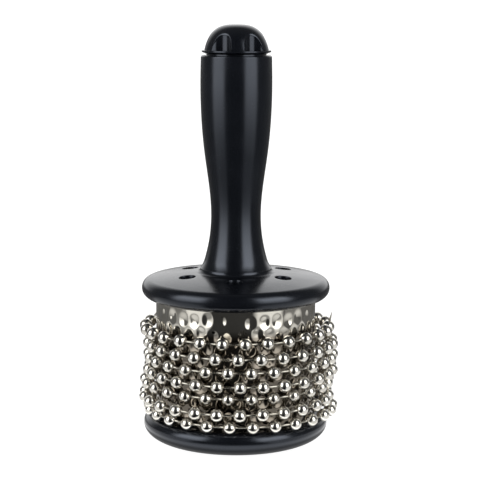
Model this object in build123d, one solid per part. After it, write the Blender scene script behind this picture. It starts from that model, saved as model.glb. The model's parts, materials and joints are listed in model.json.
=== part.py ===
from build123d import *
import math
import os

# A hand-held cabasa. Loops of ball chain turn loosely round a drum clad in sheet metal,
# between a base and a flange, and a hollow handle stands on the flange.
# The origin is the centre of the base's flat underside, and +Z runs up the handle.
# All sizes are in millimetres, and the player's side is -Y.

# Drum between the two end plates
drum_window = 49.9
sleeve_radius = 34.0
sleeve_thickness = 0.5
sleeve_seam_gap = 0.6
core_bore_radius = 11.0
core_clearance = 0.6
seat_depth = 2.5
seat_clearance = 0.1

# Base plate, with a flat foot and a large rounded lower edge
base_radius = 39.4
base_height = 11.1
base_foot_radius = 28.0
base_side_height = 0.4
base_top_round = 3.6

# Top flange, with a rounded rim, a gently domed top and a filleted collar
flange_radius = 40.0
flange_lower_width = 5.5
flange_lower_height = 4.5
flange_side_height = 0.2
flange_upper_width = 3.3
flange_upper_height = 3.9
flange_dome_radius = 26.5
flange_dome_rise = 1.6
collar_radius = 15.2
collar_fillet_width = 1.9
collar_foot_rise = 2.5
collar_height = 1.9
collar_edge_round = 0.5

# Hollows inside both end plates
plate_cavity_depth = 4.0
plate_cavity_radius = 30.5
plate_hub_radius = 13.0

# Screws that hold both end plates on the core
screw_count = 6
screw_circle_radius = 23.2
screw_pattern_turn = 28.6
screw_seat_thickness = 3.0
screw_boss_wall = 1.7
screw_head_radius = 2.9
screw_head_height = 2.2
screw_head_round = 0.9
screw_head_clearance = 0.6
screw_shank_radius = 1.6
screw_grip_length = 13.0
screw_tip_length = 2.4
screw_tip_radius = 0.3
screw_clearance = 0.1
drive_slot_width = 0.8
drive_slot_length = 3.2
drive_slot_depth = 1.2

# Handle, from its foot on the collar to its mouth
handle_length = 89.8
foot_radius = 14.3
foot_flare_radius = 11.7
foot_flare_height = 10.2
waist_radius = 10.55
waist_height = 23.0
swell_radius = 13.3
swell_height = 48.4
grip_radius = 15.1
grip_drop = 10.8
mouth_radius = 14.9
mouth_round = 0.6
mouth_wall = 2.7
mouth_bore_depth = 13.0
handle_wall = 2.6
foot_solid_height = 17.0
spigot_radius = 9.0
spigot_length = 3.8
spigot_clearance = 0.1

# Bolt, washer and threaded insert that join handle and flange
bolt_radius = 3.0
bolt_length = 20.0
bolt_head_across_flats = 10.0
bolt_head_height = 4.0
bolt_point_chamfer = 0.6
bolt_clearance = 0.1
washer_radius = 6.4
washer_thickness = 1.2
insert_radius = 4.6
insert_length = 14.0
insert_groove_depth = 0.4
insert_groove_width = 1.6

# End cap that plugs the handle's mouth
cap_lip_inset = 0.3
cap_lip_height = 2.1
cap_lip_thickness = 0.7
cap_lip_ledge = 0.55
cap_neck_ledge = 0.4
cap_neck_height = 0.6
cap_side_draft = 0.12
cap_shoulder_inset = 3.6
cap_shoulder_drop = 3.5
cap_height = 12.9
cap_plug_length = 10.0
cap_plug_wall = 2.4
cap_plug_clearance = 0.05
scallop_count = 6
scallop_pattern_turn = 2.4
scallop_radius = 5.13
scallop_standoff = 1.15

# Chain loops, whose beads are counted to fill each loop
bead_pitch = 9.45
bead_radius = 2.75
bead_wall = 0.35
link_wire_radius = 0.48
link_clearance = 0.22
link_head_gap = 0.5
link_head_play = 0.2
loop_slack = 2.35
loop_seat_gap = 0.15
loop_row_gap = 0.14
top_loop_lift = 0.3
least_bare_band = 9.0
# Which way each loop leans on the drum (degrees from +X) and how far round its
# first bead stands from the player's side (degrees), from the top loop down
loop_lean_turns = [75, 0, 8, -20, 72, -80, 5]
loop_first_beads = [4.9, -1.7, -7.7, -0.3, -5.4, 2.0, -6.7]

# Loose wire end on the top loop
tail_bead_index = 6
tail_reach = 6.7
tail_lean = 14.0
tail_tip_radius = 0.1
tail_head_radius = 0.6
tail_clearance = 0.07

# Levels and radii worked out from the sizes above
base_seat_z = base_height - seat_depth
base_bulge_z = base_height - base_top_round - base_side_height
flange_bottom_z = base_height + drum_window
flange_seat_z = flange_bottom_z + seat_depth
flange_side_z = flange_bottom_z + flange_lower_height
flange_rim_z = flange_side_z + flange_side_height + flange_upper_height
collar_foot_z = flange_rim_z + collar_foot_rise
collar_top_z = collar_foot_z + collar_height
spigot_z = collar_top_z - spigot_length
mouth_z = collar_top_z + handle_length
core_radius = sleeve_radius - sleeve_thickness - core_clearance
screw_hole_radius = screw_head_radius + screw_head_clearance
mouth_bore_radius = mouth_radius - mouth_wall
cap_lip_radius = mouth_radius - cap_lip_inset
bead_bore_radius = bead_radius - bead_wall
bead_hole_radius = link_wire_radius + link_clearance
link_head_radius = (bead_bore_radius - link_head_play - link_head_gap / 2) / 2
link_head_offset = link_head_radius + link_head_gap / 2
tail_head_offset = bead_bore_radius - link_head_play - tail_head_radius
loop_radius = sleeve_radius + bead_radius + loop_slack
loop_lean = loop_slack - loop_seat_gap
row_pitch = 2 * bead_radius + loop_row_gap
loop_count = int((drum_window - least_bare_band - top_loop_lift) / row_pitch)
beads_per_loop = round(2 * math.pi * loop_radius / bead_pitch)
half_step = 180 / beads_per_loop


def spin(outline):
    """Close an outline drawn in the XZ plane and turn it once round the Z axis."""
    return revolve(make_face(outline), axis=Axis.Z)


def ring(outer, inner, low, high):
    """Plain ring round the Z axis between two heights."""
    tube = Cylinder(outer, high - low) - Cylinder(inner, high - low)
    return Pos(0, 0, (low + high) / 2) * tube


def post(radius, low, high):
    """Plain upright cylinder between two heights, on the Z axis."""
    return Pos(0, 0, (low + high) / 2) * Cylinder(radius, high - low)


def screw_places():
    """Places of the screws round the Z axis."""
    return PolarLocations(screw_circle_radius, screw_count, screw_pattern_turn)


def plate_inside(plate, seat_z, toward):
    """Cut the drum's seat and the hollow with its screw bosses into an end plate.

    toward is the way from the drum into the plate: 1 for the flange, -1 for the base.
    """
    rim_z = seat_z - toward * seat_depth
    roof_z = seat_z + toward * plate_cavity_depth
    seat = post(sleeve_radius + seat_clearance, min(rim_z, seat_z), max(rim_z, seat_z))
    hollow = ring(plate_cavity_radius, plate_hub_radius, min(seat_z, roof_z), max(seat_z, roof_z))
    boss_radius = screw_hole_radius + screw_boss_wall
    bosses = screw_places() * post(boss_radius, min(seat_z, roof_z), max(seat_z, roof_z))
    return plate - seat - (hollow - bosses)


def screw_bores(seat_z, outer_z, toward):
    """Counterbored screw holes through an end plate, out to the given level."""
    head_z = seat_z + toward * screw_seat_thickness
    wide = post(screw_hole_radius, min(head_z, outer_z), max(head_z, outer_z))
    narrow = post(screw_shank_radius + screw_clearance, min(seat_z, head_z), max(seat_z, head_z))
    return screw_places() * (wide + narrow)


def lower_edge(flat_radius, flat_z, widest_radius, widest_z):
    """Quarter of an ellipse in the XZ plane, flat at its start and upright at the widest level."""
    quarter = EllipticalCenterArc(
        (flat_radius, widest_z),
        widest_radius - flat_radius,
        widest_z - flat_z,
        start_angle=270,
        arc_size=90,
    )
    return Plane.XZ * quarter


def base():
    """Moulded base: flat foot, rounded lower edge, drum seat and screw holes."""
    round_start = (base_radius - base_top_round, 0, base_height)
    round_end = (base_radius, 0, base_height - base_top_round)
    bulge = (base_radius, 0, base_bulge_z)
    foot = (base_foot_radius, 0, 0)
    outline = Line((0, 0, base_height), round_start)
    outline += TangentArc(round_start, round_end, tangent=(1, 0, 0))
    outline += Line(round_end, bulge)
    outline += lower_edge(base_foot_radius, 0, base_radius, base_bulge_z)
    outline += Polyline(foot, (0, 0, 0), (0, 0, base_height))
    plate = spin(outline)
    return plate_inside(plate, base_seat_z, -1) - screw_bores(base_seat_z, 0, -1)


def top_flange():
    """Moulded flange: rounded rim, domed top, collar, drum seat, screw holes and bolt hole."""
    rim_foot = (flange_radius - flange_lower_width, 0, flange_bottom_z)
    rim_low = (flange_radius, 0, flange_side_z)
    rim_high = (flange_radius, 0, flange_side_z + flange_side_height)
    rim_top = (flange_radius - flange_upper_width, 0, flange_rim_z)
    crown = (flange_dome_radius, 0, flange_rim_z + flange_dome_rise)
    collar_foot = (collar_radius + collar_fillet_width, 0, collar_foot_z)
    collar_side = (collar_radius, 0, collar_top_z - collar_edge_round)
    collar_top = (collar_radius - collar_edge_round, 0, collar_top_z)
    dome = ThreePointArc(rim_top, crown, collar_foot)
    outline = Line((0, 0, flange_bottom_z), rim_foot)
    outline += lower_edge(rim_foot[0], flange_bottom_z, flange_radius, flange_side_z)
    outline += Line(rim_low, rim_high)
    outline += TangentArc(rim_high, rim_top, tangent=(0, 0, 1))
    outline += dome
    outline += TangentArc(collar_foot, collar_side, tangent=dome % 1)
    outline += TangentArc(collar_side, collar_top, tangent=(0, 0, 1))
    outline += Polyline(collar_top, (0, 0, collar_top_z), (0, 0, flange_bottom_z))
    plate = plate_inside(spin(outline), flange_seat_z, 1)
    socket = post(spigot_radius + spigot_clearance, spigot_z - spigot_clearance, collar_top_z)
    bolt_hole = post(bolt_radius + bolt_clearance, flange_seat_z, collar_top_z)
    return plate - screw_bores(flange_seat_z, collar_top_z, 1) - socket - bolt_hole


def end_screws(seat_z, toward):
    """Screws of one end plate, each a separate solid, with their heads away from the drum."""
    head = post(screw_head_radius, screw_seat_thickness, screw_seat_thickness + screw_head_height)
    crown = head.edges().group_by(Axis.Z)[-1]
    head = fillet(crown, screw_head_round)
    shank = post(screw_shank_radius, screw_tip_length - screw_grip_length, screw_seat_thickness)
    tip = Pos(0, 0, screw_tip_length / 2 - screw_grip_length) * Cone(
        screw_tip_radius, screw_shank_radius, screw_tip_length
    )
    slot = Box(drive_slot_length, drive_slot_width, 2 * drive_slot_depth)
    drive = Pos(0, 0, screw_seat_thickness + screw_head_height) * (slot + Rot(0, 0, 90) * slot)
    screw = head + shank + tip - drive
    flip = Rot(0, 0 if toward > 0 else 180, 0)
    return Compound(children=[Pos(0, 0, seat_z) * place * flip * screw for place in screw_places()])


def drum_core():
    """Turned wooden block inside the sleeve, with a middle bore and pilot holes at both ends."""
    block = ring(core_radius, core_bore_radius, base_seat_z, flange_seat_z)
    pilot = post(screw_shank_radius + screw_clearance, 0, screw_grip_length + screw_clearance)
    upper = Pos(0, 0, flange_seat_z - screw_grip_length - screw_clearance) * pilot
    lower = Pos(0, 0, base_seat_z) * pilot
    return block - screw_places() * (upper + lower)


def sleeve():
    """Sheet metal rolled round the core, with its butt seam at the back."""
    sheet = ring(sleeve_radius, sleeve_radius - sleeve_thickness, base_seat_z, flange_seat_z)
    middle_z = (base_seat_z + flange_seat_z) / 2
    seam = Pos(0, sleeve_radius, middle_z) * Box(
        sleeve_seam_gap, 4 * sleeve_thickness, flange_seat_z - base_seat_z
    )
    return sheet - seam


def grip_side(inset):
    """Curve of the handle's side from foot to mouth, moved inwards."""
    stations = [
        (foot_radius, 0),
        (foot_flare_radius, foot_flare_height),
        (waist_radius, waist_height),
        (swell_radius, swell_height),
        (grip_radius, handle_length - grip_drop),
        (mouth_radius, handle_length),
    ]
    return Spline([(radius - inset, 0, collar_top_z + height) for radius, height in stations])


def grip_solid(inset):
    """Solid of the handle's shape from foot to mouth, moved inwards."""
    side = grip_side(inset)
    return spin(side + Polyline(side @ 1, (0, 0, mouth_z), (0, 0, collar_top_z), side @ 0))


def handle():
    """Hollow moulded grip with a solid foot, a spigot below it and a bore for the end cap."""
    body = grip_solid(0)
    body = fillet(body.edges().group_by(Axis.Z)[-1], mouth_round)
    floor_z = collar_top_z + foot_solid_height
    bore_floor_z = mouth_z - mouth_bore_depth
    hollow = grip_solid(handle_wall) & post(grip_radius, floor_z, bore_floor_z)
    bore = post(mouth_bore_radius, bore_floor_z, mouth_z)
    spigot = post(spigot_radius, spigot_z, collar_top_z)
    insert_hole = post(insert_radius, spigot_z, spigot_z + insert_length)
    bolt_hole = post(bolt_radius + bolt_clearance, spigot_z, floor_z)
    return body + spigot - hollow - bore - insert_hole - bolt_hole


def handle_insert():
    """Threaded brass insert in the handle's foot, with a groove that keys it in the plastic."""
    middle = spigot_z + insert_length / 2
    nut = ring(insert_radius, bolt_radius + bolt_clearance / 2, spigot_z, spigot_z + insert_length)
    groove = ring(
        insert_radius + insert_groove_depth,
        insert_radius - insert_groove_depth,
        middle - insert_groove_width / 2,
        middle + insert_groove_width / 2,
    )
    return nut - groove


def handle_bolt():
    """Hexagon bolt that pulls the handle down on the flange from inside the core."""
    under_head_z = flange_seat_z - washer_thickness
    head = extrude(RegularPolygon(bolt_head_across_flats / 2, 6, major_radius=False), bolt_head_height)
    shank = post(bolt_radius, under_head_z, under_head_z + bolt_length)
    shank = chamfer(shank.edges().group_by(Axis.Z)[-1], bolt_point_chamfer)
    return Pos(0, 0, under_head_z - bolt_head_height) * head + shank


def bolt_washer():
    """Flat washer between the bolt's head and the flange."""
    return ring(washer_radius, bolt_radius + bolt_clearance, flange_seat_z - washer_thickness, flange_seat_z)


def end_cap():
    """Domed plug with a thin lip over an undercut neck, and scallops for the fingers."""
    lip_z = mouth_z + cap_lip_height
    top_z = mouth_z + cap_height
    neck_radius = mouth_bore_radius + cap_neck_ledge
    dome_radius = cap_lip_radius - cap_lip_ledge
    dome_foot = (dome_radius, 0, lip_z)
    shoulder = (dome_radius - cap_shoulder_inset, 0, top_z - cap_shoulder_drop)
    top = (0, 0, top_z)
    dome = Spline(dome_foot, shoulder, top, tangents=[(-cap_side_draft, 0, 1), (-1, 0, 0)])
    outline = dome + Polyline(
        top,
        (0, 0, mouth_z),
        (neck_radius, 0, mouth_z),
        (neck_radius, 0, mouth_z + cap_neck_height),
        (cap_lip_radius, 0, lip_z - cap_lip_thickness),
        (cap_lip_radius, 0, lip_z),
        dome_foot,
    )
    head = spin(outline)
    flute = post(scallop_radius, lip_z, top_z)
    flutes = PolarLocations(cap_lip_radius + scallop_standoff, scallop_count, scallop_pattern_turn) * flute
    plug_radius = mouth_bore_radius - cap_plug_clearance
    plug = ring(plug_radius, plug_radius - cap_plug_wall, mouth_z - cap_plug_length, mouth_z)
    return head - flutes + plug


def loop_height(row):
    """Height of a loop's bead centres. Row 0 is the top loop, which rides a little high."""
    lowest = base_height + loop_seat_gap + bead_radius
    lift = top_loop_lift if row == 0 else 0
    return lowest + (loop_count - 1 - row) * row_pitch + lift


def loop_place(row):
    """Place of a loop: leaning on the drum at its height, with its first bead turned round."""
    lean_turn = math.radians(loop_lean_turns[row % len(loop_lean_turns)])
    centre = Pos(loop_lean * math.cos(lean_turn), loop_lean * math.sin(lean_turn), loop_height(row))
    return centre * Rot(0, 0, loop_first_beads[row % len(loop_first_beads)])


def bead():
    """Hollow bead at its place in front of the loop's centre, with a hole towards each neighbour."""
    shell = Sphere(bead_radius) - Sphere(bead_bore_radius)
    drill = Rot(0, 90, 0) * Pos(0, 0, bead_radius) * Cylinder(bead_hole_radius, 2 * bead_radius - bead_wall)
    holes = Rot(0, 0, half_step) * drill + Rot(0, 0, -half_step) * Rot(0, 0, 180) * drill
    return Pos(0, -loop_radius, 0) * (shell - holes)


def link():
    """Wire link from the bead in front of the loop's centre to the next, with a head at each end."""
    reach = 2 * loop_radius * math.sin(math.radians(half_step)) - 2 * link_head_offset
    wire = Rot(0, 90, 0) * Cylinder(link_wire_radius, reach)
    heads = [Pos(side * reach / 2, 0, 0) * Sphere(link_head_radius) for side in (-1, 1)]
    middle = loop_radius * math.cos(math.radians(half_step))
    return Rot(0, 0, half_step) * Pos(0, -middle, 0) * (wire + heads)


def around_loop(row, piece):
    """Copies of a piece, one for each bead, round a loop."""
    turns = [Rot(0, 0, 2 * half_step * index) for index in range(beads_per_loop)]
    return [loop_place(row) * turn * piece for turn in turns]


def tail_place():
    """Place of the loose wire end: at its bead's centre, with Z along the wire."""
    bead_turn = Rot(0, 0, 2 * half_step * tail_bead_index)
    return loop_place(0) * bead_turn * Pos(0, -loop_radius, 0) * Rot(tail_lean, 0, 0)


def wire_tail():
    """Loose wire end whose head is held inside its bead, tapering to a point outside."""
    head = Pos(0, 0, tail_head_offset) * Sphere(tail_head_radius)
    straight = post(link_wire_radius, tail_head_offset, bead_radius + bead_wall)
    taper_length = tail_reach - bead_radius - bead_wall
    taper = Pos(0, 0, tail_reach - taper_length / 2) * Cone(link_wire_radius, tail_tip_radius, taper_length)
    return tail_place() * (head + straight + taper)


def loop_beads(row):
    """Beads of one loop, each a separate solid. The top loop's tail has its own hole."""
    beads = around_loop(row, bead())
    if row == 0:
        hole = tail_place() * post(link_wire_radius + tail_clearance, bead_radius / 2, 2 * bead_radius)
        beads[tail_bead_index] = beads[tail_bead_index] - hole
    return Compound(children=beads)


def loop_links(row):
    """Links of one loop, each a separate solid."""
    return Compound(children=around_loop(row, link()))


def all_pieces():
    """Every piece of the instrument, by the name of its file."""
    pieces = {
        "base": base(),
        "base_screws": end_screws(base_seat_z, -1),
        "drum_core": drum_core(),
        "sleeve": sleeve(),
        "top_flange": top_flange(),
        "flange_screws": end_screws(flange_seat_z, 1),
        "handle_bolt": handle_bolt(),
        "bolt_washer": bolt_washer(),
        "handle_insert": handle_insert(),
        "handle": handle(),
        "end_cap": end_cap(),
        "chain_1_wire_tail": wire_tail(),
    }
    for row in range(loop_count):
        pieces[f"chain_{row + 1}_beads"] = loop_beads(row)
        pieces[f"chain_{row + 1}_links"] = loop_links(row)
    return pieces


os.makedirs("parts", exist_ok=True)
for name, piece in all_pieces().items():
    export_step(piece, f"parts/{name}.step")
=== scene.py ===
"""A small cabasa in a plain studio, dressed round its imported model.

Lengths are millimetres unless a name says metres, angles are degrees unless a name says
radians, and +Z runs up the handle. The player's side is -Y.
"""
import json
import logging
import math
from collections.abc import Sequence
from dataclasses import dataclass, field
from enum import Enum

import bmesh
import bpy
import numpy as np
from mathutils import Matrix, Vector

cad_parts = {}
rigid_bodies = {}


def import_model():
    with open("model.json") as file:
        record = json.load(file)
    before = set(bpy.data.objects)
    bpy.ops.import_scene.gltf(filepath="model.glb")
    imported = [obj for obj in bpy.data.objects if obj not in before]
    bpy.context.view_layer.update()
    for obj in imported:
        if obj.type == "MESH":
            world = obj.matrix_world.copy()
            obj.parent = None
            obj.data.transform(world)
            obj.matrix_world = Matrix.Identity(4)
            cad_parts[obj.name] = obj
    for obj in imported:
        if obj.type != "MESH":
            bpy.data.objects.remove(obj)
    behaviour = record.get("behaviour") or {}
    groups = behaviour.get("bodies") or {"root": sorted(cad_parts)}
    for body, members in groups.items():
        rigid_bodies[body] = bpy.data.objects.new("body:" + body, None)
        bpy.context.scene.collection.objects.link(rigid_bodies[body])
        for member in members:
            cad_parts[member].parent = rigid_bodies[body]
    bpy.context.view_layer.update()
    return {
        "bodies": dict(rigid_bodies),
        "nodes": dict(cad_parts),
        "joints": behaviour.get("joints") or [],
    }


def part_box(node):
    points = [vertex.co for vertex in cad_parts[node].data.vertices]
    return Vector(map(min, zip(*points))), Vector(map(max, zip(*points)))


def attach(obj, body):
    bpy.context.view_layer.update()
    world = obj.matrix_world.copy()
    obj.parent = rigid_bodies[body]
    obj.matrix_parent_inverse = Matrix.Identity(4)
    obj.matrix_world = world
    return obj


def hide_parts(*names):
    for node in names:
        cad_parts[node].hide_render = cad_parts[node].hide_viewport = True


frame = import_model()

METRES_PER_MM = 0.001
WELD_DISTANCE_METRES = 2e-7
FULL_TURN = 2 * math.pi
ROOT_BODY = "instrument"
LOG = logging.getLogger("cabasa")

Array = np.ndarray
Span = tuple[float, float]
Colour = tuple[float, float, float, float]
Socket = bpy.types.NodeSocket
Material = bpy.types.Material


class Slot(str, Enum):
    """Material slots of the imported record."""

    BLACK_PLASTIC = "black_plastic"
    CAP_PLASTIC = "cap_plastic"
    SLEEVE_STEEL = "sleeve_steel"
    NICKEL_BEADS = "nickel_beads"
    NICKEL_WIRE = "nickel_wire"


class Side(Enum):
    """Which way an end plate lies from the drum."""

    ABOVE = 1
    BELOW = -1


# Frame readings


def node_box(node: str) -> tuple[Array, Array]:
    """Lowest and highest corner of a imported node."""
    low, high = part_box(node)
    return np.array(low) / METRES_PER_MM, np.array(high) / METRES_PER_MM


def mesh_points(mesh: bpy.types.Mesh) -> Array:
    """All points of a mesh, one row each.

    Args:
        mesh: the mesh.

    Returns:
        Points, count by 3.
    """
    flat = np.zeros(len(mesh.vertices) * 3, np.float32)
    mesh.vertices.foreach_get("co", flat)
    return flat.reshape(-1, 3).astype(float) / METRES_PER_MM


# Curves and grids


def smooth_curve(points: Array, count: int) -> Array:
    """Smooth line through a few points.

    A natural cubic spline: the parameter is the distance along the straight runs, and the
    second derivative is continuous inside and zero at both ends.

    Args:
        points: points that the line passes through, as radius and height.
        count: how many points to return.

    Returns:
        Points on the line, count by 2.
    """
    runs = np.linalg.norm(np.diff(points, axis=0), axis=1)
    place = np.concatenate([[0.0], np.cumsum(runs)])
    size = len(points)
    system = np.eye(size)
    inner = np.arange(1, size - 1)
    system[inner, inner - 1] = runs[:-1]
    system[inner, inner] = 2 * (runs[:-1] + runs[1:])
    system[inner, inner + 1] = runs[1:]
    slopes = np.diff(points, axis=0) / runs[:, None]
    right = np.zeros_like(points)
    right[inner] = 6 * np.diff(slopes, axis=0)
    bend = np.linalg.solve(system, right)
    along = np.linspace(0, place[-1], count)
    run = np.clip(np.searchsorted(place, along, side="right") - 1, 0, size - 2)
    length = runs[run][:, None]
    ahead = (along - place[run])[:, None]
    back = length - ahead
    return (
        bend[run] * back**3 / (6 * length)
        + bend[run + 1] * ahead**3 / (6 * length)
        + (points[run] / length - bend[run] * length / 6) * back
        + (points[run + 1] / length - bend[run + 1] * length / 6) * ahead
    )


def rounded_line(corners: Sequence[tuple[float, float, float]], steps: int = 7) -> Array:
    """Straight runs joined by tangent arcs.

    At each inner corner the arc starts and ends round / tan(half the inner angle) from the
    corner, and its points turn evenly about the arc's centre.

    Args:
        corners: radius, height and size of round at each corner.
        steps: points on each arc.

    Returns:
        Points on the line, count by 2.
    """
    places = np.array([corner[:2] for corner in corners], float)
    parts = [places[:1]]
    for before, corner, after, entry in zip(places, places[1:], places[2:], corners[1:-1]):
        radius = entry[2]
        if radius == 0:
            parts.append(corner[None])
            continue
        back = (before - corner) / np.linalg.norm(before - corner)
        ahead = (after - corner) / np.linalg.norm(after - corner)
        half = 0.5 * math.acos(float(np.clip(back @ ahead, -1, 1)))
        bisector = (back + ahead) / np.linalg.norm(back + ahead)
        centre = corner + bisector * radius / math.sin(half)
        first = corner + back * radius / math.tan(half) - centre
        last = corner + ahead * radius / math.tan(half) - centre
        sweep = math.pi - 2 * half
        share = np.linspace(0, 1, steps)[:, None]
        turned_out = np.sin((1 - share) * sweep) * first + np.sin(share * sweep) * last
        parts.append(centre + turned_out / math.sin(sweep))
    parts.append(places[-1:])
    return np.concatenate(parts)


def ellipse_arc(centre: Span, half: Span, first: float, last: float, count: int) -> Array:
    """Stretch of an upright ellipse.

    For evenly spaced angles a: half width times cos a, and half height times sin a, from the
    centre.

    Args:
        centre: radius and height of its middle.
        half: half width and half height.
        first: first angle.
        last: last angle.
        count: how many points.

    Returns:
        Points, count by 2.
    """
    angle = np.radians(np.linspace(first, last, count))
    return np.array(centre) + np.array(half) * np.column_stack([np.cos(angle), np.sin(angle)])


def with_supports(line: Array, margin: float = 0.12) -> Array:
    """Add a point near both ends of each long run, which keeps flat faces flat in shading.

    Args:
        line: points, count by 2.
        margin: distance of the new points from the run's ends.

    Returns:
        Points with the new ones between them.
    """
    runs = np.linalg.norm(np.diff(line, axis=0), axis=1)
    place = np.concatenate([[0.0], np.cumsum(runs)])
    long = runs > 4 * margin
    wanted = np.sort(np.concatenate([place, place[:-1][long] + margin, place[1:][long] - margin]))
    return np.column_stack([np.interp(wanted, place, line[:, 0]), np.interp(wanted, place, line[:, 1])])


def round_grid(radius: Array, angle: Array, height: Array) -> Array:
    """Grid with x = radius cos angle, y = radius sin angle and z = height, angles in radians."""
    radius, angle, height = np.broadcast_arrays(radius, angle, height)
    return np.stack([radius * np.cos(angle), radius * np.sin(angle), height], axis=-1)


def turned(line: Array, columns: int, start: float = 0.0) -> Array:
    """Carry a line of radius and height once round the Z axis, at evenly spaced angles.

    Args:
        line: points, rows by 2.
        columns: how many angles.
        start: first angle.

    Returns:
        Grid of points, rows by columns by 3.
    """
    angle = math.radians(start) + np.arange(columns) * FULL_TURN / columns
    return round_grid(line[:, :1], angle, line[:, 1:])


def turned_copies(points: Array, angles: Array) -> Array:
    """Copies of points turned about the Z axis.

    Args:
        points: any grid whose last axis is x, y, z.
        angles: angle of each copy, in radians.

    Returns:
        Copies, one along the new first axis for each angle.
    """
    shape = (len(angles),) + (1,) * (points.ndim - 1)
    cosine = np.cos(angles).reshape(shape)
    sine = np.sin(angles).reshape(shape)
    x, y, z = points[..., 0], points[..., 1], points[..., 2]
    same_height = np.broadcast_to(z, (len(angles),) + z.shape)
    return np.stack([cosine * x - sine * y, sine * x + cosine * y, same_height], axis=-1)


def soft_minimum(first: Array, second: Array, blend: float) -> Array:
    """Smaller of two values, with the corner between them rounded.

    h = clip(1/2 + (second - first) / (2 blend), 0, 1), and the result is
    second (1 - h) + first h - blend h (1 - h) / 2.

    Args:
        first: first values.
        second: second values.
        blend: width of the rounded stretch.

    Returns:
        The rounded minimum.
    """
    share = np.clip(0.5 + 0.5 * (second - first) / blend, 0, 1)
    return second * (1 - share) + first * share - 0.5 * blend * share * (1 - share)


@dataclass
class Patch:
    """A grid of points, and whether it closes round its columns and its rows."""

    points: Array
    columns_close: bool = True
    rows_close: bool = False

    def faces(self) -> Array:
        """Join each point with its next row and column into four-sided faces.

        Returns:
            Corner numbers of each face, count by 4.
        """
        rows, columns = self.points.shape[:2]
        row = np.arange(rows if self.rows_close else rows - 1)[:, None]
        column = np.arange(columns if self.columns_close else columns - 1)[None, :]
        next_row = (row + 1) % rows
        next_column = (column + 1) % columns
        corners = np.broadcast_arrays(
            row * columns + column,
            row * columns + next_column,
            next_row * columns + next_column,
            next_row * columns + column,
        )
        return np.stack(corners, axis=-1).reshape(-1, 4)


def make_object(name: str, patches: Sequence[Patch], crease: float = 35.0) -> bpy.types.Object:
    """Weld patches into one closed mesh with smooth shading.

    Args:
        name: name of the object.
        patches: grids whose borders meet.
        crease: faces that meet at a larger angle keep a sharp edge.

    Returns:
        The object, linked to the scene.
    """
    starts = np.cumsum([0] + [patch.points[..., 0].size for patch in patches])
    points = np.concatenate([patch.points.reshape(-1, 3) for patch in patches]) * METRES_PER_MM
    faces = np.concatenate([patch.faces() + start for patch, start in zip(patches, starts)])
    mesh = bpy.data.meshes.new(name)
    mesh.from_pydata(points.tolist(), [], faces.tolist())
    work = bmesh.new()
    work.from_mesh(mesh)
    bmesh.ops.remove_doubles(work, verts=work.verts, dist=WELD_DISTANCE_METRES)
    bmesh.ops.dissolve_degenerate(work, edges=work.edges, dist=WELD_DISTANCE_METRES)
    bmesh.ops.recalc_face_normals(work, faces=work.faces)
    work.to_mesh(mesh)
    work.free()
    mesh.shade_smooth()
    mesh.set_sharp_from_angle(angle=math.radians(crease))
    obj = bpy.data.objects.new(name, mesh)
    bpy.context.scene.collection.objects.link(obj)
    return obj


def dress(obj: bpy.types.Object, body: str, node: str, material: Material) -> None:
    """Give a finished piece its material, its body and the node that it stands for.

    Args:
        obj: the piece.
        body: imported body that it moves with.
        node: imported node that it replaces.
        material: finish of the piece.
    """
    obj.data.materials.append(material)
    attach(obj, body)
    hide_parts(node)
    LOG.info("%s: %d faces, rides on %s", obj.name, len(obj.data.polygons), body)


def dress_node(node: str, material: Material) -> None:
    """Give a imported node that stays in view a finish.

    Args:
        node: name of the node.
        material: finish of the node.
    """
    obj = frame["nodes"][node]
    if not obj.material_slots:
        obj.data.materials.append(material)
    for place in obj.material_slots:
        place.material = material
    LOG.info("%s: packed node kept", node)


# Finishes


def colour(code: str) -> Colour:
    """Linear red, green, blue and alpha of an sRGB hex code.

    Args:
        code: six hex digits after a hash.

    Returns:
        The colour.
    """
    parts = [int(code[place : place + 2], 16) / 255 for place in (1, 3, 5)]
    linear = [part / 12.92 if part <= 0.04045 else ((part + 0.055) / 1.055) ** 2.4 for part in parts]
    return (*linear, 1.0)


def per_metre(size: float) -> float:
    """Pattern scale that gives features of a size in millimetres on Object coordinates."""
    return 1 / (size * METRES_PER_MM)


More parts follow.
